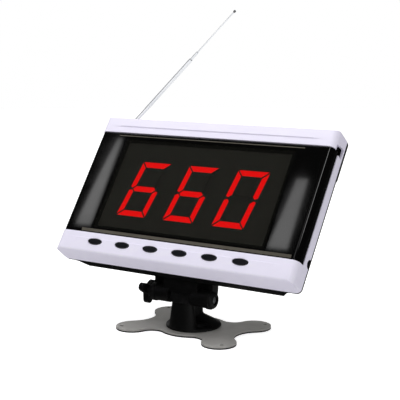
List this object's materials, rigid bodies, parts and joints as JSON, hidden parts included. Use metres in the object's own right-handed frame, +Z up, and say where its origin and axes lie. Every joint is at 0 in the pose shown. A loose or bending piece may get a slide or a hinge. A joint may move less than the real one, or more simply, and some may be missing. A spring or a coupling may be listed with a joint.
{
  "type": "table-top call receiver display",
  "caption": "Table-top paging receiver: a wide tilting head with red seven-segment digits and function keys, on a low lobed swivel stand, with a telescopic antenna.",
  "frame": {"origin": "on the ground under the centre of the stand's base", "axes": "+Z up, the display faces -Y, +X to the right as the reader sees it"},
  "size_m": [0.278, 0.2085, 0.3204],
  "materials": {
    "white_plastic": "satin white moulding with a faint lavender cast",
    "gloss_black": "polished black",
    "smoked_filter": "smoked anti-glare acrylic",
    "black_plastic": "fine-grained black",
    "stand_plastic": "matt black glass-filled nylon",
    "key_plastic": "satin near-black",
    "switch_plastic": "matt black",
    "digit_housing": "matt black",
    "red_segments": "translucent red, lit",
    "circuit_board": "green solder mask",
    "tinned_steel": "tinned",
    "zinc_steel": "zinc plated",
    "chrome": "bright plated brass tube",
    "grey_steel": "satin grey powder coat",
    "foam_pad": "black closed-cell foam"
  },
  "bodies": {
    "base": {"base_pad": "foam_pad", "base_plate": "grey_steel", "swivel_washer": "zinc_steel"},
    "stand": {"pedestal": "stand_plastic", "swivel_screw": "zinc_steel"},
    "head": {"tilt_yoke": "stand_plastic", "tilt_bolt": "zinc_steel", "tilt_nut": "zinc_steel", "front_frame": "white_plastic", "front_bezel": "gloss_black", "display_filter": "smoked_filter", "rear_cover": "black_plastic", "display_board": "circuit_board", "key_board": "circuit_board", "receiver_board": "circuit_board", "receiver_shield": "tinned_steel", "buzzer": "black_plastic", "power_jack": "black_plastic", "digit_housing_1": "digit_housing", "digit_housing_2": "digit_housing", "digit_housing_3": "digit_housing", "digit_diffuser_1": "red_segments", "digit_diffuser_2": "red_segments", "digit_diffuser_3": "red_segments", "key_switch_1": "switch_plastic", "key_switch_2": "switch_plastic", "key_switch_3": "switch_plastic", "key_switch_4": "switch_plastic", "key_switch_5": "switch_plastic", "key_switch_6": "switch_plastic", "cover_screw_1": "zinc_steel", "cover_screw_2": "zinc_steel", "cover_screw_3": "zinc_steel", "cover_screw_4": "zinc_steel", "bracket_screw_1": "zinc_steel", "bracket_screw_2": "zinc_steel", "antenna_screw": "chrome"},
    "wing": {"wing_knob": "stand_plastic"},
    "key_1": {"key_cap_1": "key_plastic"},
    "key_2": {"key_cap_2": "key_plastic"},
    "key_3": {"key_cap_3": "key_plastic"},
    "key_4": {"key_cap_4": "key_plastic"},
    "key_5": {"key_cap_5": "key_plastic"},
    "key_6": {"key_cap_6": "key_plastic"},
    "antenna_lower": {"antenna_knuckle": "chrome", "antenna_tube_1": "chrome"},
    "antenna_middle": {"antenna_tube_2": "chrome"},
    "antenna_upper": {"antenna_tube_3": "chrome", "antenna_tip": "chrome"}
  },
  "joints": [
    {"name": "base_swivel", "type": "hinge", "parent": "base", "child": "stand", "pos_m": [0, 0, 0.0034], "axis": [0, 0, 1], "continuous": true},
    {"name": "head_tilt", "type": "hinge", "parent": "stand", "child": "head", "pos_m": [0, -0.019, 0.038], "axis": [1, 0, 0], "range_deg": [-24, 35]},
    {"name": "wing_turn", "type": "hinge", "parent": "head", "child": "wing", "pos_m": [-0.04, -0.019, 0.038], "axis": [1, 0, 0], "continuous": true},
    {"name": "key_1_press", "type": "slide", "parent": "head", "child": "key_1", "axis": [0, 0.8131, -0.5821], "range_m": [0, 0.0008], "stiffness_N_per_m": 1000, "springref_m": -0.0006},
    {"name": "key_2_press", "type": "slide", "parent": "head", "child": "key_2", "axis": [0, 0.8131, -0.5821], "range_m": [0, 0.0008], "stiffness_N_per_m": 1000, "springref_m": -0.0006},
    {"name": "key_3_press", "type": "slide", "parent": "head", "child": "key_3", "axis": [0, 0.8131, -0.5821], "range_m": [0, 0.0008], "stiffness_N_per_m": 1000, "springref_m": -0.0006},
    {"name": "key_4_press", "type": "slide", "parent": "head", "child": "key_4", "axis": [0, 0.8131, -0.5821], "range_m": [0, 0.0008], "stiffness_N_per_m": 1000, "springref_m": -0.0006},
    {"name": "key_5_press", "type": "slide", "parent": "head", "child": "key_5", "axis": [0, 0.8131, -0.5821], "range_m": [0, 0.0008], "stiffness_N_per_m": 1000, "springref_m": -0.0006},
    {"name": "key_6_press", "type": "slide", "parent": "head", "child": "key_6", "axis": [0, 0.8131, -0.5821], "range_m": [0, 0.0008], "stiffness_N_per_m": 1000, "springref_m": -0.0006},
    {"name": "antenna_swing", "type": "hinge", "parent": "head", "child": "antenna_lower", "pos_m": [-0.1304, 0.0615, 0.18686], "axis": [0, -0.8131, 0.5821], "range_deg": [-62, 60]},
    {"name": "antenna_slide_lower", "type": "slide", "parent": "antenna_lower", "child": "antenna_middle", "axis": [0.454, 0.5187, 0.7245], "range_m": [-0.01, 0.075]},
    {"name": "antenna_slide_upper", "type": "slide", "parent": "antenna_middle", "child": "antenna_upper", "axis": [0.454, 0.5187, 0.7245], "range_m": [-0.06, 0.012]}
  ]
}
